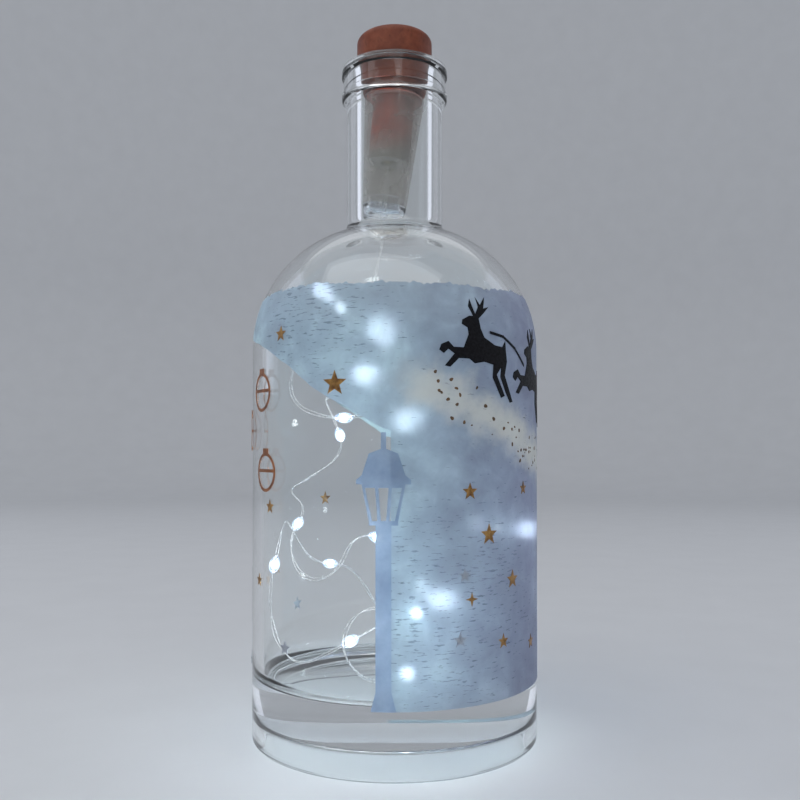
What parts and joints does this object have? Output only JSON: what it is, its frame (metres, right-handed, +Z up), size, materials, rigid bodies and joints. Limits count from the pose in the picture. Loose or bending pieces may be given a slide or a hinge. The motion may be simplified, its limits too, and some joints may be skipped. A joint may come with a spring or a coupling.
{
  "type": "bottle light",
  "caption": "Clear glass bottle with frosted winter prints, holding a string of small lights on silvery wire; its cork-coloured stopper carries the cells and a slide switch.",
  "frame": {"origin": "centre of the bottle's base, on the surface that it stands on", "axes": "+Z up along the bottle's axis, -Y towards the pictured front, +X to its right"},
  "size_m": [0.0886, 0.0884, 0.2178],
  "materials": {
    "clear_glass": "polished clear flint glass",
    "frost_print": "frosted, bluish white, mottled",
    "black_print": "matt black print",
    "gold_print": "brown-gold print",
    "grey_print": "grey print",
    "cork_plastic": "cork-coloured, slightly grained",
    "smoke_plastic": "translucent grey",
    "clear_plastic": "clear",
    "black_plastic": "matt",
    "cell_steel": "bright plated steel",
    "contact_metal": "nickel-plated",
    "solder": "bright solder",
    "board_green": "lacquered board",
    "red_lead": "insulated",
    "silver_wire": "lacquered, bright",
    "clear_resin": "clear drop",
    "led_yellow": "phosphor over the chip",
    "clear_glue": "clear glue"
  },
  "bodies": {
    "bottle": {"bauble_prints": "gold_print", "bottle_glass": "clear_glass", "deer_following": "black_print", "deer_leading": "black_print", "frost_film": "frost_print", "gold_stars": "gold_print", "grey_stars": "grey_print", "led_bead_01": "clear_resin", "led_bead_02": "clear_resin", "led_bead_03": "clear_resin", "led_bead_04": "clear_resin", "led_bead_05": "clear_resin", "led_bead_06": "clear_resin", "led_bead_07": "clear_resin", "led_bead_08": "clear_resin", "led_bead_09": "clear_resin", "led_bead_10": "clear_resin", "led_bead_11": "clear_resin", "led_bead_12": "clear_resin", "led_bead_13": "clear_resin", "led_bead_14": "clear_resin", "led_bead_15": "clear_resin", "led_chips": "led_yellow", "rein_print": "black_print", "street_lamp": "frost_print", "string_wire": "silver_wire"},
    "battery_stem": {"battery_sleeve": "smoke_plastic", "end_cap": "clear_plastic", "battery_cradle": "cork_plastic", "button_cell_1": "cell_steel", "button_cell_2": "cell_steel", "button_cell_3": "cell_steel", "negative_plate": "contact_metal", "negative_spring": "contact_metal", "side_strip": "contact_metal", "inner_lead_positive": "red_lead", "inner_lead_negative": "black_plastic", "wire_gland": "clear_glue", "string_lead": "silver_wire"},
    "cork_cap": {"cork_cap": "cork_plastic", "switch_housing": "cell_steel", "switch_pins": "contact_metal", "circuit_board": "board_green", "controller_chip": "black_plastic", "resistor": "black_plastic", "solder_joints": "solder", "positive_spring": "contact_metal", "contact_finger": "contact_metal"},
    "switch_knob": {"switch_knob": "black_plastic"}
  },
  "joints": [
    {"name": "stopper_lift", "type": "slide", "parent": "bottle", "child": "battery_stem", "axis": [0, 0, 1], "range_m": [0, 0.056], "deforming": ["string_lead"]},
    {"name": "cap_pull", "type": "slide", "parent": "battery_stem", "child": "cork_cap", "axis": [0, 0, 1], "range_m": [0, 0.02]},
    {"name": "switch_slide", "type": "slide", "parent": "cork_cap", "child": "switch_knob", "axis": [1, 0, 0], "range_m": [0, 0.002]}
  ]
}
